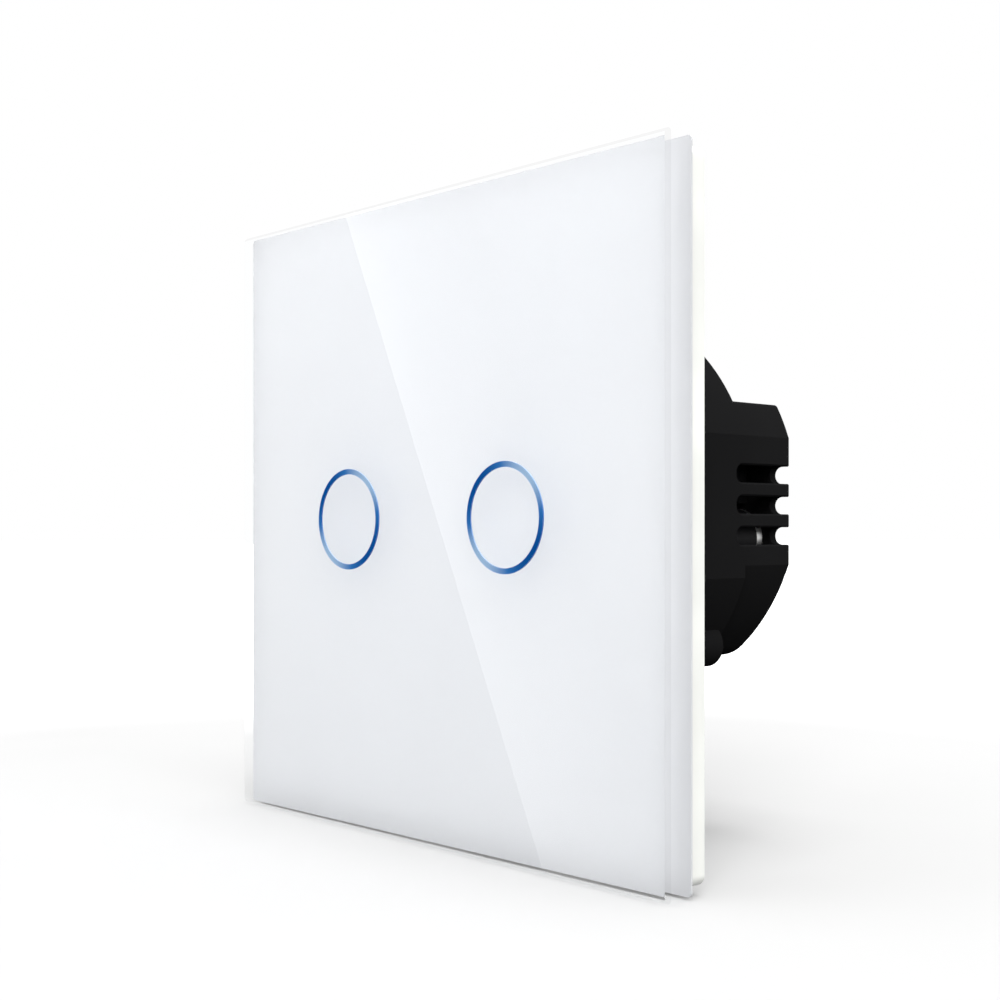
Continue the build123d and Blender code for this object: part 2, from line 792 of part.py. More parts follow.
# Bulk capacitor, seen through the lowest right vent: a sleeved can with a rolled groove and a bare end
with BuildPart() as bulk_capacitor:
    with BuildSketch(Plane.XY.offset(bulk_cap_z)):
        with BuildLine():
            Polyline(
                (bulk_cap_x, board_back),
                (bulk_cap_x + bulk_cap_r, board_back),
                (bulk_cap_x + bulk_cap_r, board_back + bulk_cap_groove_height - bulk_cap_groove),
                (bulk_cap_x + bulk_cap_r - bulk_cap_groove, board_back + bulk_cap_groove_height),
                (bulk_cap_x + bulk_cap_r, board_back + bulk_cap_groove_height + bulk_cap_groove),
                (bulk_cap_x + bulk_cap_r, bulk_cap_back - bulk_cap_bare),
                (bulk_cap_x + bulk_cap_r - bulk_cap_sleeve, bulk_cap_back - bulk_cap_bare),
                (bulk_cap_x + bulk_cap_r - bulk_cap_sleeve, bulk_cap_back - bulk_cap_edge),
                (bulk_cap_x + bulk_cap_r - bulk_cap_sleeve - bulk_cap_edge, bulk_cap_back),
                (bulk_cap_x, bulk_cap_back),
                close=True,
            )
        make_face()
    revolve(axis=Axis((bulk_cap_x, 0, bulk_cap_z), (0, 1, 0)))
    add(rear_leads(bulk_cap_leads))
save(bulk_capacitor, "bulk_capacitor")

# Varistor: a disc that stands on its edge
with BuildPart() as varistor:
    with BuildSketch(Plane.XY.offset(varistor_z - varistor_thick / 2)):
        with Locations((0, board_back + varistor_r)):
            Circle(varistor_r)
    extrude(amount=varistor_thick)
    fillet(varistor.edges().filter_by(GeomType.CIRCLE), varistor_thick / 4)
    add(pins(varistor_leads, lead_r, board_back + varistor_r, board_front))
save(varistor, "varistor")

# Fuse in a small box
with BuildPart() as fuse:
    with BuildSketch(at_depth(board_back + fuse_height)):
        with Locations((fuse_x, fuse_z)):
            RectangleRounded(fuse_length, fuse_width, film_cap_edge)
    extrude(amount=fuse_height)
    add(rear_leads(fuse_leads))
save(fuse, "fuse")

# Supply transformer on the front of the power board: ferrite frame and winding
with BuildPart() as transformer_core:
    with BuildSketch(Plane.XY.offset(transformer_z + transformer_limb)):
        with Locations((0, board_front)):
            Rectangle(transformer_width, transformer_height, align=(Align.CENTER, Align.MAX))
        with Locations((0, board_front - transformer_height / 2)):
            Rectangle(
                transformer_width - transformer_limb,
                transformer_height - transformer_limb,
                mode=Mode.SUBTRACT,
            )
            Rectangle(transformer_limb, transformer_height)
    extrude(amount=-2 * transformer_limb)
save(transformer_core, "transformer_core")

with BuildPart() as transformer_winding:
    with BuildSketch(at_depth(board_front - transformer_limb / 2 - seat_gap)):
        with Locations((0, transformer_z)):
            RectangleRounded(
                transformer_width - transformer_limb - 2 * part_gap,
                transformer_length,
                transformer_limb,
            )
            Rectangle(
                transformer_limb + 2 * fit_gap,
                2 * (transformer_limb + fit_gap),
                mode=Mode.SUBTRACT,
            )
    extrude(amount=transformer_height - transformer_limb - 2 * seat_gap)
    add(pins(transformer_leads, lead_r, board_back, board_front - transformer_limb))
save(transformer_winding, "transformer_winding")

# Control chip on the front of the power board
with BuildPart() as control_chip:
    with BuildSketch(at_depth(board_front)):
        with Locations((control_chip_x, 0)):
            Rectangle(control_chip_width, control_chip_length)
    extrude(amount=control_chip_height)
    chamfer(control_chip.faces().sort_by(Axis.Y)[0].edges(), chip_edge)
save(control_chip, "control_chip")

# Terminal block: a pocket, a wire inlet above and a screw hole behind for each terminal
with BuildPart() as terminal_block:
    with BuildSketch(Plane.XY.offset(block_low_z)):
        with Locations((0, board_back)):
            Rectangle(2 * block_half, tail_back - board_back, align=(Align.CENTER, Align.MIN))
    extrude(amount=step_z - block_low_z)
    chamfer(terminal_block.faces().sort_by(Axis.Y)[-1].edges(), block_edge)
    with BuildSketch(at_depth(pocket_back_y)):
        with Locations(*[(x, (pocket_low_z + pocket_high_z) / 2) for x in terminal_places]):
            Rectangle(2 * pocket_half, pocket_high_z - pocket_low_z)
    extrude(amount=pocket_back_y - board_back, mode=Mode.SUBTRACT)
    with BuildSketch(at_depth(tail_back)):
        with Locations(*[(x, terminal_z) for x in terminal_places]):
            Circle(screw_head_r + part_gap)
    extrude(amount=tail_back - screw_ledge_y, mode=Mode.SUBTRACT)
    with BuildSketch(at_depth(tail_back)):
        with Locations(*[(x, terminal_z) for x in terminal_places]):
            Circle(screw_shank_r + part_gap)
    extrude(amount=tail_back - pocket_back_y + overrun, mode=Mode.SUBTRACT)
    with Locations(*[Location((x, wire_y, step_z)) for x in terminal_places]):
        Hole(wire_hole_r, step_z - pocket_high_z + overrun)
save(terminal_block, "terminal_block")

# Busbars: a flat tongue in each cage and a pin into the power board
with BuildPart() as terminal_busbars:
    for x in terminal_places:
        with BuildSketch(at_depth(bar_back_y)):
            with Locations((x, (bar_low_z + bar_high_z) / 2)):
                Rectangle(2 * bar_half, bar_high_z - bar_low_z)
        extrude(amount=bar_thick)
        with BuildSketch(at_depth(bar_back_y)):
            with Locations((x, bar_pin_z)):
                Rectangle(2 * bar_pin_half, 2 * bar_pin_half)
        extrude(amount=bar_back_y - board_front)
save(terminal_busbars, "terminal_busbars")


# Rising cage: a square loop round the wire, threaded on its rear wall
def build_cage(x, label):
    with BuildPart() as cage:
        with BuildSketch(Plane.XY.offset(cage_low_z)):
            with Locations((x, (cage_front_y + cage_back_y) / 2)):
                Rectangle(2 * cage_half, cage_back_y - cage_front_y)
        extrude(amount=cage_high_z - cage_low_z)
        with BuildSketch(Plane.XY.offset(cage_low_z)):
            with Locations((x, cage_front_y + cage_front_wall)):
                Rectangle(
                    2 * (cage_half - cage_side_wall),
                    cage_nut_y - cage_front_y - cage_front_wall,
                    align=(Align.CENTER, Align.MIN),
                )
        extrude(amount=cage_high_z - cage_low_z, mode=Mode.SUBTRACT)
        with BuildSketch(at_depth(cage_back_y)):
            with Locations((x, terminal_z)):
                Circle(screw_shank_r + fit_gap)
        extrude(amount=cage_rear_wall, mode=Mode.SUBTRACT)
    save(cage, label)


# Terminal screw: a slotted head in the rear recess, its tip on the busbar
def build_terminal_screw(x, label):
    head_front_y = screw_ledge_y + seat_gap
    with BuildPart() as screw:
        with BuildSketch(at_depth(head_front_y)):
            with Locations((x, terminal_z)):
                Circle(screw_shank_r)
        extrude(amount=head_front_y - screw_tip_y)
        with BuildSketch(at_depth(head_front_y + screw_head_height)):
            with Locations((x, terminal_z)):
                Circle(screw_head_r)
        extrude(amount=screw_head_height)
        with BuildSketch(at_depth(head_front_y + screw_head_height)):
            with Locations((x, terminal_z)):
                Rectangle(2 * screw_head_r, screw_slot_width)
        extrude(amount=screw_slot_depth, mode=Mode.SUBTRACT)
    save(screw, label)


for n, x in enumerate(terminal_places, start=1):
    build_cage(x, f"terminal_cage_{n}")
    build_terminal_screw(x, f"terminal_screw_{n}")

# Relay depths, from the board forwards
relay_base_front = board_front - relay_base_thick
yoke_top_y = relay_front + yoke_top
armature_back_y = yoke_top_y - seat_gap
armature_front_y = armature_back_y - armature_thick
pole_y = armature_back_y + pole_gap
foot_front_y = relay_base_front - seat_gap - yoke_thick
contact_face_y = armature_front_y + contact_height + contact_gap


def build_relay_case(x, side):
    with BuildPart() as case:
        with BuildSketch(at_depth(board_front)):
            with Locations((x, 0)):
                RectangleRounded(relay_width, relay_length, relay_edge)
        extrude(amount=relay_height)
        with BuildSketch(at_depth(board_front)):
            with Locations((x, 0)):
                Rectangle(relay_width - 2 * relay_wall, relay_length - 2 * relay_wall)
        extrude(amount=relay_height - relay_wall, mode=Mode.SUBTRACT)
    save(case, f"relay_case_{side}")
    with BuildPart() as base:
        with BuildSketch(at_depth(board_front)):
            with Locations((x, 0)):
                Rectangle(relay_width - 2 * (relay_wall + fit_gap), relay_length - 2 * (relay_wall + fit_gap))
            with Locations((x, hinge_z), (x, contact_z)):
                Circle(relay_pin_r + part_gap, mode=Mode.SUBTRACT)
        extrude(amount=relay_base_thick)
    save(base, f"relay_base_{side}")


def relay_pin(x, z):
    """Round pin from the relay's inside through its base and the board."""
    return pins([(x, z)], relay_pin_r, board_back, relay_base_front - seat_gap)


def build_relay_magnet(x, side):
    with BuildPart() as yoke:
        with BuildSketch(at_depth(foot_front_y + yoke_thick)):
            with Locations((x, hinge_z)):
                Rectangle(yoke_width, yoke_thick)
        extrude(amount=foot_front_y + yoke_thick - yoke_top_y)
        with BuildSketch(at_depth(foot_front_y + yoke_thick)):
            with Locations((x, hinge_z)):
                Rectangle(yoke_width, core_z - hinge_z + 2 * core_r, align=(Align.CENTER, Align.MIN))
            with Locations((x, core_z)):
                Circle(core_r / 2 + fit_gap, mode=Mode.SUBTRACT)
        extrude(amount=yoke_thick)
        add(relay_pin(x, hinge_z))
    save(yoke, f"relay_yoke_{side}")
    with BuildPart() as core:
        with BuildSketch(at_depth(foot_front_y)):
            with Locations((x, core_z)):
                Circle(core_r)
        extrude(amount=foot_front_y - pole_y)
        with BuildSketch(at_depth(pole_y + pole_thick)):
            with Locations((x, core_z)):
                Circle(pole_r)
        extrude(amount=pole_thick)
        with BuildSketch(at_depth(foot_front_y + yoke_thick)):
            with Locations((x, core_z)):
                Circle(core_r / 2)
        extrude(amount=yoke_thick)
    save(core, f"relay_core_{side}")
    with BuildPart() as bobbin:
        with BuildSketch(at_depth(foot_front_y)):
            with Locations((x, core_z)):
                Rectangle(bobbin_width, bobbin_length)
        extrude(amount=bobbin_wall)
        with BuildSketch(at_depth(pole_y + pole_thick + bobbin_wall)):
            with Locations((x, core_z)):
                Rectangle(bobbin_width, bobbin_length)
        extrude(amount=bobbin_wall)
        with BuildSketch(at_depth(foot_front_y)):
            with Locations((x, core_z)):
                Circle(core_r + fit_gap + bobbin_wall)
        extrude(amount=foot_front_y - pole_y - pole_thick)
        with BuildSketch(at_depth(foot_front_y)):
            with Locations((x, core_z)):
                Circle(core_r + fit_gap)
        extrude(amount=foot_front_y - pole_y, mode=Mode.SUBTRACT)
    save(bobbin, f"relay_bobbin_{side}")
    with BuildPart() as winding:
        with BuildSketch(at_depth(foot_front_y - bobbin_wall - fit_gap)):
            with Locations((x, core_z)):
                Circle(winding_r)
                Circle(core_r + 2 * fit_gap + bobbin_wall, mode=Mode.SUBTRACT)
        extrude(amount=foot_front_y - pole_y - pole_thick - 2 * bobbin_wall - 2 * fit_gap)
    save(winding, f"relay_winding_{side}")


def build_relay_contacts(x, side):
    with BuildPart() as armature:
        with BuildSketch(at_depth(armature_back_y)):
            with Locations((x, hinge_z - armature_tail)):
                Rectangle(armature_width, armature_reach + armature_tail, align=(Align.CENTER, Align.MIN))
        extrude(amount=armature_thick)
    save(armature, f"relay_armature_{side}")
    with BuildPart() as blade:
        with BuildSketch(at_depth(armature_front_y)):
            with Locations((x, hinge_z)):
                Rectangle(2 * blade_half, blade_reach, align=(Align.CENTER, Align.MIN))
        extrude(amount=blade_thick)
        with BuildSketch(at_depth(armature_front_y + contact_height)):
            with Locations((x, contact_z)):
                Circle(contact_r)
        extrude(amount=contact_height + 2 * blade_thick)
    save(blade, f"relay_blade_{side}")
    with BuildPart() as contact:
        with BuildSketch(at_depth(contact_face_y + contact_arm)):
            with Locations((x, contact_z)):
                Circle(contact_r)
        extrude(amount=contact_arm)
        with BuildSketch(at_depth(contact_face_y + 2 * contact_arm)):
            with Locations((x, contact_z)):
                Rectangle(2 * blade_half, 2 * contact_r + contact_post)
        extrude(amount=contact_arm)
        with BuildSketch(at_depth(relay_base_front - seat_gap)):
            with Locations((x, contact_z)):
                Rectangle(2 * blade_half, contact_post)
        extrude(amount=relay_base_front - seat_gap - contact_face_y - contact_arm)
        add(relay_pin(x, contact_z))
    save(contact, f"relay_contact_{side}")


for x, side in zip((-relay_x, relay_x), ("left", "right")):
    build_relay_case(x, side)
    build_relay_magnet(x, side)
    build_relay_contacts(x, side)
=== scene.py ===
import json
from math import cos, pi, radians, sin

import bmesh
import bpy
import numpy as np
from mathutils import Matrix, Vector
from mathutils.geometry import tessellate_polygon


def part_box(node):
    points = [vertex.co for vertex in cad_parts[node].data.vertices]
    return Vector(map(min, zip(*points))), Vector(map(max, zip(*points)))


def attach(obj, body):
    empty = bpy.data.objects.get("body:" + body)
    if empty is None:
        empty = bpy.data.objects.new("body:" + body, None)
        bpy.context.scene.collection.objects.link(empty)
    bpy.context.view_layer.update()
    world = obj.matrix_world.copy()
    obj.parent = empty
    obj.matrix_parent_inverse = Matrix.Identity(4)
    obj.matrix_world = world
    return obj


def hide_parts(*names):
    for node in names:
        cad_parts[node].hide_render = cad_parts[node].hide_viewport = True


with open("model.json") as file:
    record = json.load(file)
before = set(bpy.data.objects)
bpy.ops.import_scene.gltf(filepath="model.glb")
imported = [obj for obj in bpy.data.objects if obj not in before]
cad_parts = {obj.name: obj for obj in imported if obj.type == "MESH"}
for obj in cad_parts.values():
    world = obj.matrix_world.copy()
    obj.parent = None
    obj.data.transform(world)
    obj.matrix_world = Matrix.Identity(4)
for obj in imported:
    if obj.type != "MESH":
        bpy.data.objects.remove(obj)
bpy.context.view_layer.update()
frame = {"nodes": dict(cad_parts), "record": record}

# Looks of the touch light switch: clear glass over a white print, two blue ring keys, a white
# frame and a black moulded module with its boards, relays and screw terminals.
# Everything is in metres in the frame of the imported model.

MM = 0.001


# Shader arithmetic


class Wire:
    """An output socket of a finish. Its arithmetic adds Math nodes to the finish."""

    def __init__(self, finish, socket):
        self.finish, self.socket = finish, socket

    def maths(self, operation, *values):
        return self.finish.node("Math", {"operation": operation}, dict(enumerate(values)))

    def __add__(self, other):
        return self.maths("ADD", self, other)

    def __radd__(self, other):
        return self.maths("ADD", other, self)

    def __sub__(self, other):
        return self.maths("SUBTRACT", self, other)

    def __rsub__(self, other):
        return self.maths("SUBTRACT", other, self)

    def __mul__(self, other):
        return self.maths("MULTIPLY", self, other)

    def __rmul__(self, other):
        return self.maths("MULTIPLY", other, self)

    def __pow__(self, other):
        return self.maths("POWER", self, other)

    def __abs__(self):
        return self.maths("ABSOLUTE", self)

    def most(self, other):
        return self.maths("MAXIMUM", self, other)

    def wave(self):
        return self.maths("SINE", self)

    def rise(self, low, high):
        """0 below low, 1 above high and a smooth rise between them."""
        return self.finish.node(
            "MapRange",
            {"interpolation_type": "SMOOTHSTEP"},
            {"Value": self, "From Min": low, "From Max": high},
        )


class Recipe:
    """The nodes of one material or of the sky."""

    def __init__(self, tree):
        self.tree, self.result = tree, None
        self.tree.nodes.clear()

    def feed(self, socket, value):
        if isinstance(value, Wire):
            self.tree.links.new(value.socket, socket)
        else:
            socket.default_value = value

    def node(self, kind, settings=None, inputs=None, output=0):
        """Adds a node of a kind, with its settings first and then its inputs, as a Wire."""
        made = self.tree.nodes.new("ShaderNode" + kind)
        for name, value in (settings or {}).items():
            if name == "stops":
                for at, (place, colour) in enumerate(value):
                    stop = made.color_ramp.elements[at] if at < 2 else made.color_ramp.elements.new(place)
                    stop.position, stop.color = place, (*colour, 1)
            else:
                setattr(made, name, value)
        for name, value in (inputs or {}).items():
            self.feed(made.inputs[name], value)
        return Wire(self, made.outputs[output])

    def show(self, shader, kind="Material"):
        """Makes a shader the result of the recipe, in place of an earlier one."""
        self.result = self.result or self.tree.nodes.new("ShaderNodeOutput" + kind)
        self.tree.links.new(shader.socket, self.result.inputs[0])

    def seen(self):
        """1 for what the camera sees, also in a reflection or through glass, and 0 for plain light."""
        rays = ("Is Camera Ray", "Is Glossy Ray", "Is Transmission Ray")
        camera_ray, glossy_ray, glass_ray = (self.node("LightPath", output=ray) for ray in rays)
        return camera_ray.most(glossy_ray).most(glass_ray)

    def place(self, centre=(0, 0, 0), turn=(0, 0, 0), stretch=(1, 1, 1)):
        """Object coordinates measured from a centre, turned and stretched."""
        there = self.node("TexCoord", output="Object")
        moved = self.node("VectorMath", {"operation": "SUBTRACT"}, {0: there, 1: centre})
        return self.node("Mapping", {}, {"Vector": moved, "Rotation": turn, "Scale": stretch})

    def axes(self, place):
        """The three values of a place."""
        split = self.node("SeparateXYZ", {}, {0: place})
        return [Wire(self, split.socket.node.outputs[axis]) for axis in range(3)]

    def noise(self, place, scale, detail=2.0, rough=0.5):
        return self.node(
            "TexNoise", {}, {"Vector": place, "Scale": scale, "Detail": detail, "Roughness": rough}
        )

    def tint(self, first, second, share):
        """Mixes two colours by a share."""
        return self.node(
            "Mix",
            {"data_type": "RGBA"},
            {0: share, 6: self.full(first), 7: self.full(second)},
            output=2,
        )

    def full(self, colour):
        return colour if isinstance(colour, Wire) else (*colour[:3], 1)


class Finish(Recipe):
    """A procedural material: one Principled shader and the nodes that feed it."""

    def __init__(self, name, colour, roughness, **even):
        self.material = bpy.data.materials.new(name)
        self.material.use_nodes = True
        super().__init__(self.material.node_tree)
        self.shader = self.node("BsdfPrincipled")
        self.show(self.shader)
        self.set(Base_Color=self.full(colour), Roughness=roughness, **even)

    def set(self, **values):
        """Sets or links sockets of the shader. An underscore stands for a space."""
        for name, value in values.items():
            self.feed(self.shader.socket.node.inputs[name.replace("_", " ")], value)
        return self

    def relief(self, height, depth, under=None):
        """A bump of a height between 0 and 1, with its depth in metres."""
        inputs = {"Height": height, "Distance": depth, "Strength": 1.0}
        if under is not None:
            inputs["Normal"] = under
        return self.node("Bump", {}, inputs)


def moulded(name, colour, roughness, grain=0.25 * MM, depth=0.006 * MM, **even):
    """Moulded plastic: a fine spark-eroded grain, soft flow shades and slightly worn gloss."""
    finish = Finish(name, colour, roughness, **even)
    place = finish.place()
    fine = finish.noise(place, 1 / grain, 3.0, 0.6)
    flow = finish.noise(place, 60.0, 2.0)
    dark = [0.93 * c for c in colour]
    light = [min(1.0, 1.05 * c) for c in colour]
    finish.set(
        Base_Color=finish.tint(dark, light, flow.rise(0.35, 0.65)),
        Roughness=roughness + 0.10 * (fine - 0.5) + 0.06 * (flow - 0.5),
        Normal=finish.relief(fine, depth),
    )
    return finish


def metal(name, colour, roughness, along=(1, 1, 1), depth=0.003 * MM, **even):
    """Rolled or drawn metal: fine lines along one direction and faint stains."""
    finish = Finish(name, colour, roughness, Metallic=1.0, **even)
    lines = finish.noise(finish.place(stretch=along), 5000.0, 2.0, 0.6)
    stain = finish.noise(finish.place(), 250.0, 3.0)
    dark = [0.92 * c for c in colour]
    finish.set(
        Base_Color=finish.tint(dark, colour, stain.rise(0.30, 0.62)),
        Roughness=roughness + 0.12 * (lines - 0.5) + 0.10 * (stain - 0.5),
        Normal=finish.relief(lines, depth),
    )
    return finish


# Surfaces


def grid_faces(rows, columns, around=False):
    """Quads of a grid of points, row by row; around joins the last column to the first."""
    row, column = np.meshgrid(np.arange(rows - 1), np.arange(columns - (not around)), indexing="ij")
    here, beside = row * columns + column, row * columns + (column + 1) % columns
    return np.stack([here, beside, beside + columns, here + columns], axis=-1).reshape(-1, 4)


def make(name, parts, finish, body, stands_for=(), smooth=True):
    """One object of several (points, faces) parts, with its doubles merged and normals outward."""
    points, faces, start = [], [], 0
    for part_points, part_faces in parts:
        part_points = np.asarray(part_points, float).reshape(-1, 3)
        points.append(part_points)
        faces += (np.asarray(part_faces) + start).tolist()
        start += len(part_points)
    mesh = bpy.data.meshes.new(name)
    mesh.from_pydata(np.concatenate(points).tolist(), [], faces)
    body_mesh = bmesh.new()
    body_mesh.from_mesh(mesh)
    bmesh.ops.remove_doubles(body_mesh, verts=body_mesh.verts, dist=1e-6)
    bmesh.ops.recalc_face_normals(body_mesh, faces=body_mesh.faces)
    body_mesh.to_mesh(mesh)
    body_mesh.free()
    mesh.materials.append(finish.material)
    if smooth:
        mesh.shade_smooth()
        mesh.set_sharp_from_angle(angle=radians(32))
    piece = bpy.data.objects.new(name, mesh)
    bpy.context.scene.collection.objects.link(piece)
    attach(piece, body)
    if stands_for:
        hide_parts(*stands_for)
    return piece


def rounded_square(half, corner, steps=8):
    """Outline of a square with round corners, anticlockwise as X and Z: an arc at each corner."""
    turns = np.linspace(0, pi / 2, steps)
    quarter = np.stack([np.cos(turns), np.sin(turns)], axis=-1) * corner + (half - corner)
    x, z = quarter.T
    return np.concatenate(
        [quarter, np.stack([-z, x], axis=-1), -quarter, np.stack([z, -x], axis=-1)]
    )


def ring_outline(centre, radius, steps=96):
    """Outline of a circle as X and Z."""
    turns = np.linspace(0, 2 * pi, steps, endpoint=False)
    return np.stack([np.cos(turns), np.sin(turns)], axis=-1) * radius + np.asarray(centre)


def stacked(outlines, depths):
    """Walls between outlines of equal counts, each at its own depth."""
    rows = [np.insert(outline, 1, depth, axis=1) for outline, depth in zip(outlines, depths)]
    return np.concatenate(rows), grid_faces(len(rows), len(outlines[0]), around=True)


def flat_face(depth, *outlines):
    """A flat face at a depth inside the first outline and outside the others."""
    rows = [np.insert(np.asarray(outline), 1, depth, axis=1) for outline in outlines]
    faces = tessellate_polygon([[Vector((x, z, 0)) for x, _, z in row] for row in rows])
    return np.concatenate(rows), np.array([list(face) for face in faces])


def turned(profile, centre, steps=48):
    """A profile of (radius, depth) turned round an axis along Y through a centre in X and Z."""
    outlines = [ring_outline(centre, radius, steps) for radius, _ in profile]
    return stacked(outlines, [depth for _, depth in profile])


# Glass panel

glass_low, glass_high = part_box("glass_panel")
ring_low, ring_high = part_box("touch_ring_left")
panel_middle = (glass_low.z + glass_high.z) / 2
panel_half = (glass_high.x - glass_low.x) / 2
ring_half = (ring_high.x - ring_low.x) / 2
ring_out = (ring_high.x + ring_low.x) / -2
ring_places = {"left": (-ring_out, panel_middle), "right": (ring_out, panel_middle)}
ring_line = 0.65 * MM
bevel_width = 0.45 * MM
arris = 0.2 * MM
contact = 0.1 * MM
nearly = 0.02 * MM

glass = Finish(
    "clear_glass", (0.985, 0.995, 1.0), 0.0, Transmission_Weight=1.0, IOR=1.5
)
smear = glass.noise(glass.place(), 25.0, 3.0)
across, inward, upward = glass.axes(glass.place(centre=(0, 0, panel_middle)))
out = abs(across).most(abs(upward))
ground = out.rise(panel_half - bevel_width - nearly, panel_half - bevel_width)
glass.set(Roughness=0.004 * smear.rise(0.45, 0.8))
# Bevel and sides are glass that doesn't bend light, which keeps their thin bands clean. The bevel's grey
# see-through tint is painted shade for the darker band that a bending bevel shows; the sides stay untinted.
shadow = glass.node("LightPath", output="Is Shadow Ray")
scattered = glass.node("LightPath", output="Is Diffuse Ray")
# See-through tints: for shadow rays, for the bevel as seen (painted shade), and for light scattered through
# the bevel.
clear, bevel_painted_shade, edge_dim = (
    glass.node("BsdfTransparent", {}, {"Color": (*colour, 1)})
    for colour in ((0.97, 0.98, 0.98), (0.93, 0.93, 0.93), (0.75, 0.75, 0.75))
)
bevel_look = glass.node("MixShader", {}, {0: scattered, 1: bevel_painted_shade, 2: edge_dim})
side_look = glass.node("BsdfTransparent", {}, {"Color": (1, 1, 1, 1)})
bevel_foot = glass_low.y + bevel_width
behind = inward.rise(bevel_foot + nearly / 2, bevel_foot + 3 * nearly / 2)
edge_look = glass.node("MixShader", {}, {0: behind, 1: bevel_look, 2: side_look})
all_glass = glass.node("MixShader", {}, {0: ground, 1: glass.shader, 2: edge_look})
glass.show(glass.node("MixShader", {}, {0: shadow, 1: all_glass, 2: clear}))


def glass_parts():
    """Front bevel, sides and rear arris as walls between rounded squares, then the two flat faces.

    The rear face lies a little inside the print, so that glass and print are in contact."""
    front, back = glass_low.y, glass_high.y + contact
    foot = bevel_width - nearly
    steps = [(bevel_width, 0.0), (foot, 0.6 * nearly), (nearly, foot), (0.0, bevel_width)]
    insets = [inset for inset, _ in steps] + [0.0, arris]
    depths = [front + depth for _, depth in steps] + [back - arris, back]
    middle = np.array([0, panel_middle])
    outlines = [rounded_square(panel_half - i, max(0.5 * MM - i, 0.08 * MM)) + middle for i in insets]
    parts = [stacked(outlines, depths), flat_face(back, outlines[-1])]
    floor = front + ring_high.y - ring_low.y + nearly
    holes = []
    for centre in ring_places.values():
        outer = ring_outline(centre, ring_half - nearly)
        inner = ring_outline(centre, ring_half - ring_line + nearly)
        parts += [
            stacked([outer, outer], [front, floor]),
            stacked([inner, inner], [front, floor]),
            flat_face(floor, outer, inner),
            flat_face(front, inner),
        ]
        holes.append(outer)
    parts.append(flat_face(front, outlines[0], *holes))
    return parts


make("glass_clear", glass_parts(), glass, "panel", ("glass_panel",), smooth=False)


# Ring colours: a deep painted shade, the plain blue and a pale painted highlight.
ring_painted_shade, ring_blue, ring_painted_highlight = (0.003, 0.070, 0.290), (0.03, 0.16, 0.46), (0.34, 0.50, 0.71)


def ring_ink_and_sheen(name, centre):
    """Blue ink with a painted sheen that turns twice round the ring: pale painted highlight lobes and deep
    painted shade lobes, as light falls on a spun metal ring.
    """
    finish = Finish(name, (0.02, 0.16, 0.42), 0.30, Specular_IOR_Level=0.0)
    place = finish.place(centre=(centre[0], 0, centre[1]))
    x, _, z = finish.axes(place)
    turn = finish.node("Math", {"operation": "ARCTAN2"}, {0: z, 1: x})
    # The shade that turns twice round the ring is a painted sheen of highlights and shade, not a change in
    # the ink.
    shade = 0.5 + 0.5 * (2.0 * turn - radians(104) + pi / 2).wave()
    speck = finish.noise(place, 4000.0, 2.0)
    ink = finish.node(
        "ValToRGB",
        {"stops": [(0.0, ring_painted_shade), (1.0, ring_painted_highlight), (0.45, ring_blue)]},
        {0: (shade ** 1.2) + 0.06 * (speck - 0.5)},
    )
    finish.set(Base_Color=ink, Normal=finish.relief(speck, 0.002 * MM))
    return finish


for side, centre in ring_places.items():
    front = ring_low.y + nearly / 2
    foot = ring_high.y + 2 * nearly
    inner, outer = ring_half - ring_line - nearly, ring_half + nearly
    crown = [(inner, foot), (inner, front), (outer, front), (outer, foot), (inner, foot)]
    key = make(
        f"ring_key_{side}",
        [turned(crown, centre, 128)],
        ring_ink_and_sheen(f"ring_ink_and_sheen_{side}", centre),
        "panel",
        (f"touch_ring_{side}",),
    )
    key.visible_shadow = False


# Finishes of the nodes


def white_print():
    """White enamel fired on the back of the glass, with a faint cloud."""
    finish = Finish("white_print", (0.686, 0.694, 0.716), 0.35, Specular_IOR_Level=0.3)
    place = finish.place()
    cloud = finish.noise(place, 40.0, 2.0)
    finish.set(Base_Color=finish.tint((0.681, 0.689, 0.711), (0.691, 0.699, 0.721), cloud.rise(0.3, 0.7)))
    return finish


def laminate():
    """Green board: solder mask over copper tracks."""
    finish = Finish("board_laminate", (0.02, 0.16, 0.07), 0.35, Coat_Weight=0.3)
    place = finish.place(turn=(pi / 2, 0, 0))
    tracks = finish.node(
        "TexBrick",
        {"offset": 0.37, "squash": 1.0},
        {
            "Vector": place,
            "Scale": 260.0,
            "Mortar Size": 0.10,
            "Mortar Smooth": 0.2,
            "Brick Width": 1.7,
            "Row Height": 0.42,
        },
        output=1,
    )
    cloud = finish.noise(place, 300.0, 3.0)
    ink = finish.tint((0.012, 0.12, 0.05), (0.035, 0.24, 0.10), tracks)
    finish.set(
        Base_Color=finish.tint(ink, (0.02, 0.15, 0.06), 0.25 * cloud),
        Roughness=0.30 + 0.15 * cloud,
        Normal=finish.relief(tracks, 0.02 * MM),
    )
    return finish


def coil_wire():
    """Enamelled wire wound in layers round the depth axis: fine ridges across Y, with painted shade in the
    grooves between turns and a painted highlight on the crests.
    """
    finish = Finish("coil_wire", (0.60, 0.26, 0.10), 0.28, Metallic=0.9, Coat_Weight=0.6)
    place = finish.place()
    _, depth, _ = finish.axes(place)
    ridge = 0.5 + 0.5 * (depth * (2 * pi / (0.16 * MM))).wave()
    drift = finish.noise(place, 900.0, 2.0)
    # The colour follows the ridges, with a random drift: painted shade in the grooves and a painted
    # highlight on the crests.
    finish.set(
        Base_Color=finish.tint((0.30, 0.10, 0.035), (0.72, 0.34, 0.14), ridge * drift.rise(0.2, 0.7)),
        Normal=finish.relief(ridge, 0.05 * MM),
    )
    return finish


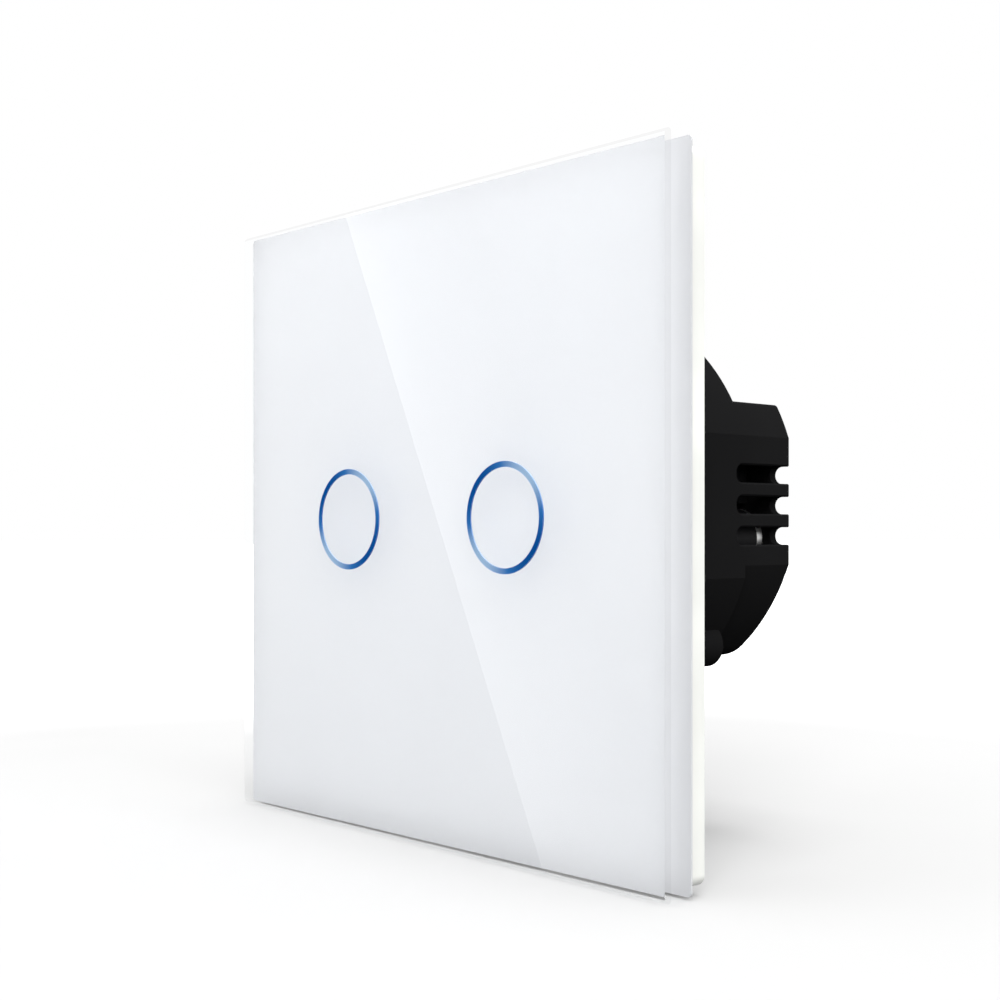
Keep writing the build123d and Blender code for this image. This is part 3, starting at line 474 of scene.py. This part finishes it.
def winding_tape():
    """Yellow polyester tape in overlapping layers."""
    finish = Finish("winding_tape", (0.80, 0.60, 0.07), 0.22, Coat_Weight=0.4)
    place = finish.place()
    _, depth, _ = finish.axes(place)
    edge = (0.5 + 0.5 * (depth * (2 * pi / (1.7 * MM))).wave()).rise(0.85, 0.97)
    cloud = finish.noise(place, 400.0, 3.0)
    finish.set(
        Base_Color=finish.tint((0.86, 0.64, 0.08), (0.58, 0.40, 0.03), edge * 0.6 + 0.25 * cloud),
        Normal=finish.relief(edge, 0.04 * MM),
    )
    return finish


sleeve_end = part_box("bulk_capacitor")[1].y - 1.6 * MM


def capacitor_can():
    """Matt black sleeve, and bare aluminium where the sleeve ends near the rear."""
    finish = Finish("capacitor_can", (0.01, 0.01, 0.01), 0.5, Specular_IOR_Level=0.1)
    place = finish.place()
    _, depth, _ = finish.axes(place)
    bare = depth.rise(sleeve_end - nearly, sleeve_end + nearly)
    speck = finish.noise(place, 2500.0, 3.0)
    finish.set(
        Base_Color=finish.tint((0.010, 0.010, 0.011), (0.70, 0.70, 0.69), bare),
        Metallic=bare,
        Roughness=0.55 - 0.18 * bare + 0.1 * (speck - 0.5),
        Normal=finish.relief(speck, 0.004 * MM),
    )
    return finish


black = dict(Specular_IOR_Level=0.0)
finishes = {
    "white_print": white_print(),
    "tape": moulded("foam_tape", (0.84, 0.84, 0.82), 0.8, grain=0.4 * MM, depth=0.03 * MM),
    "white_plastic": moulded("white_plastic", (0.93, 0.94, 0.90), 0.38),
    "plated_steel": metal("plated_steel", (0.66, 0.67, 0.68), 0.34, along=(1, 1, 0.06)),
    "black_plastic": moulded("black_plastic", (0.0115, 0.0115, 0.0119), 0.50, **black),
    "terminal_plastic": moulded("terminal_plastic", (0.013, 0.013, 0.014), 0.45, **black),
    "screw_steel": metal("screw_steel", (0.72, 0.72, 0.71), 0.26),
    "cage_steel": metal("cage_steel", (0.68, 0.66, 0.60), 0.33),
    "copper_alloy": metal("copper_alloy", (0.74, 0.48, 0.27), 0.30),
    "guide_plastic": moulded("guide_plastic", (0.86, 0.87, 0.88), 0.25, Transmission_Weight=0.35),
    "spring_steel": metal("spring_steel", (0.74, 0.74, 0.74), 0.18),
    "board_laminate": laminate(),
    "lamp": moulded("lamp_resin", (0.90, 0.86, 0.62), 0.2),
    "chip_resin": moulded("chip_resin", (0.03, 0.03, 0.03), 0.6, grain=0.12 * MM),
    "header_plastic": moulded("header_plastic", (0.03, 0.03, 0.03), 0.5),
    "pin_brass": metal("pin_brass", (0.80, 0.64, 0.32), 0.22),
    "light_grey_plastic": moulded("light_grey_plastic", (0.62, 0.62, 0.60), 0.36),
    "can_sleeve": capacitor_can(),
    "varistor_resin": moulded("varistor_resin", (0.06, 0.16, 0.40), 0.42, grain=0.6 * MM, depth=0.03 * MM),
    "fuse_plastic": moulded("fuse_plastic", (0.10, 0.10, 0.10), 0.5),
    "ferrite": moulded("ferrite", (0.06, 0.06, 0.065), 0.6, grain=0.15 * MM, depth=0.015 * MM),
    "winding_tape": winding_tape(),
    "relay_plastic": moulded("relay_plastic", (0.03, 0.08, 0.20), 0.28, Coat_Weight=0.3),
    "bobbin_plastic": moulded("bobbin_plastic", (0.75, 0.74, 0.70), 0.45),
    "coil_wire": coil_wire(),
    "soft_iron": metal("soft_iron", (0.56, 0.56, 0.57), 0.38),
}

replaced = {"glass_panel", "touch_ring_left", "touch_ring_right"}
for part in frame["record"]["subparts"]:
    if part["node"] in replaced:
        continue
    node = frame["nodes"][part["node"]]
    node.data.materials.clear()
    node.data.materials.append(finishes[part["material_slot"]].material)


# Camera, floor and light

eye = Vector((0.14207, -0.1225, -0.0032))
camera = bpy.data.objects.new("camera", bpy.data.cameras.new("camera"))
camera.location = eye
camera.rotation_euler = (radians(90), 0, radians(47.80))
camera.data.lens = 53.892
camera.data.sensor_width = 36.0
camera.data.sensor_fit = "HORIZONTAL"
camera.data.shift_y = 0.0324
camera.data.clip_start = 0.01
bpy.context.scene.collection.objects.link(camera)
bpy.context.scene.camera = camera


def studio_floor():
    """Pale floor that keeps the shadow: it throws back little light and fades to white far away."""
    finish = Finish("studio_floor", (0.2, 0.2, 0.2), 0.9, Specular_IOR_Level=0.0)
    place = finish.place()
    far = finish.node("VectorMath", {"operation": "LENGTH"}, {0: place}, output=1)
    away = far.rise(fade_start, fade_end)
    speck = 0.97 + 0.06 * finish.noise(place, 30.0, 2.0)
    looked_at = finish.seen()
    finish.set(Base_Color=finish.tint([floor_return] * 3, [floor_shade] * 3, looked_at * speck))
    strength = looked_at * (floor_glow + (1 - floor_glow) * away)
    glow = finish.node("Emission", {}, {"Color": (1, 1, 1, 1), "Strength": strength})
    finish.show(finish.node("AddShader", {}, {0: finish.shader, 1: glow}))
    return finish


floor_return = 0.06
floor_shade = 0.48
floor_glow = 0.13
fade_start, fade_end = 0.13, 0.24
floor_half = 6.0
floor_z = glass_low.z - 0.2 * MM
floor_corners = [(x * floor_half, y * floor_half, floor_z) for x, y in ((-1, -1), (1, -1), (1, 1), (-1, 1))]
floor_mesh = bpy.data.meshes.new("studio_floor")
floor_mesh.from_pydata(floor_corners, [], [(0, 1, 2, 3)])
floor_mesh.materials.append(studio_floor().material)
floor = bpy.data.objects.new("studio_floor", floor_mesh)
bpy.context.scene.collection.objects.link(floor)
floor.visible_glossy = False

world = bpy.data.worlds.new("studio_world")
bpy.context.scene.world = world
world.use_nodes = True
sky = Recipe(world.node_tree)
sky.show(sky.node("Background", {}, {"Color": (1, 1, 1, 1), "Strength": 1.0}), "World")


def lamp(name, way, far, size, level):
    """A soft square lamp in the direction way, at a distance far from the object.

    A white surface that faces it gets this level of white from it."""
    toward = Vector(way).normalized()
    data = bpy.data.lights.new(name, "AREA")
    data.shape = "SQUARE"
    data.size = size
    data.energy = level * (pi * far) ** 2
    made = bpy.data.objects.new(name, data)
    made.location = toward * far
    made.rotation_euler = toward.to_track_quat("Z", "Y").to_euler()
    bpy.context.scene.collection.objects.link(made)


lamps = [
    ("near_lamp", (0.55, -0.65, 0.53), 3.2, 1.4, 0.49),
    ("low_side_lamp", (0.96, 0.08, 0.26), 2.4, 1.0, 0.16),
    ("high_side_lamp", (0.54, -0.2, 0.82), 2.4, 1.0, 0.19),
    ("top_lamp", (0.03, 0.0, 1.0), 2.4, 1.2, 0.47),
]
for name, way, far, size, level in lamps:
    lamp(name, way, far, size, level)


def glass_point(px, py):
    """Point of the glass front behind a place of the picture, which is 1000 wide."""
    focus = 1000 * camera.data.lens / camera.data.sensor_width
    right = (px - 500) / focus
    up = (500 - py) / focus + camera.data.shift_y * 1000 / focus
    turn = camera.rotation_euler.z
    way = np.array([cos(turn) * right - sin(turn), sin(turn) * right + cos(turn), up])
    return np.array(eye) + way * (glass_low.y - eye.y) / way[1]


def card_point(px, py, reach):
    """Where the mirrored sight line through that place meets the card's plane."""
    there = glass_point(px, py)
    mirrored = np.array([eye.x, 2 * glass_low.y - eye.y, eye.z])
    way = there - mirrored
    way /= np.linalg.norm(way)
    return mirrored + way * (reach / (way @ card_way))


def soft_card():
    """A strip of light that shows in the glass: a clean edge, then a fade to plain white."""
    finish = Finish("soft_card", (1, 1, 1), 1.0)
    edge = finish.node("Attribute", {"attribute_name": "fade"}, output="Fac")
    strength = 1.0 + (1.0 - edge) ** 1.1
    finish.show(finish.node("Emission", {}, {"Color": (1, 1, 1, 1), "Strength": strength}))
    return finish


# The card's clean edge shows along this line of the picture, in pixels. Past it the card fades.
edge_top, edge_bottom = (285.74, 18.0), (582.182, 1002.0)
card_widths = np.array([0, 15, 30, 50, 75, 100, 125])
card_rows = 12
card_way = np.array([-0.741, -0.672, 0.0])
card_reach = 0.9
card_points = np.array(
    [
        [card_point(px + width, py, card_reach) for width in card_widths]
        for px, py in np.linspace(edge_top, edge_bottom, card_rows)
    ]
)
card_faces = grid_faces(card_rows, len(card_widths)).tolist()
card_mesh = bpy.data.meshes.new("soft_card")
card_mesh.from_pydata(card_points.reshape(-1, 3).tolist(), [], card_faces)
fade = card_mesh.attributes.new("fade", "FLOAT", "POINT")
fade.data.foreach_set("value", np.tile(card_widths / card_widths[-1], card_rows))
card_mesh.materials.append(soft_card().material)
card = bpy.data.objects.new("soft_card", card_mesh)
bpy.context.scene.collection.objects.link(card)
card.visible_camera = False
card.visible_diffuse = False
card.visible_shadow = False
card.visible_transmission = False

bpy.context.scene.view_settings.view_transform = "Standard"
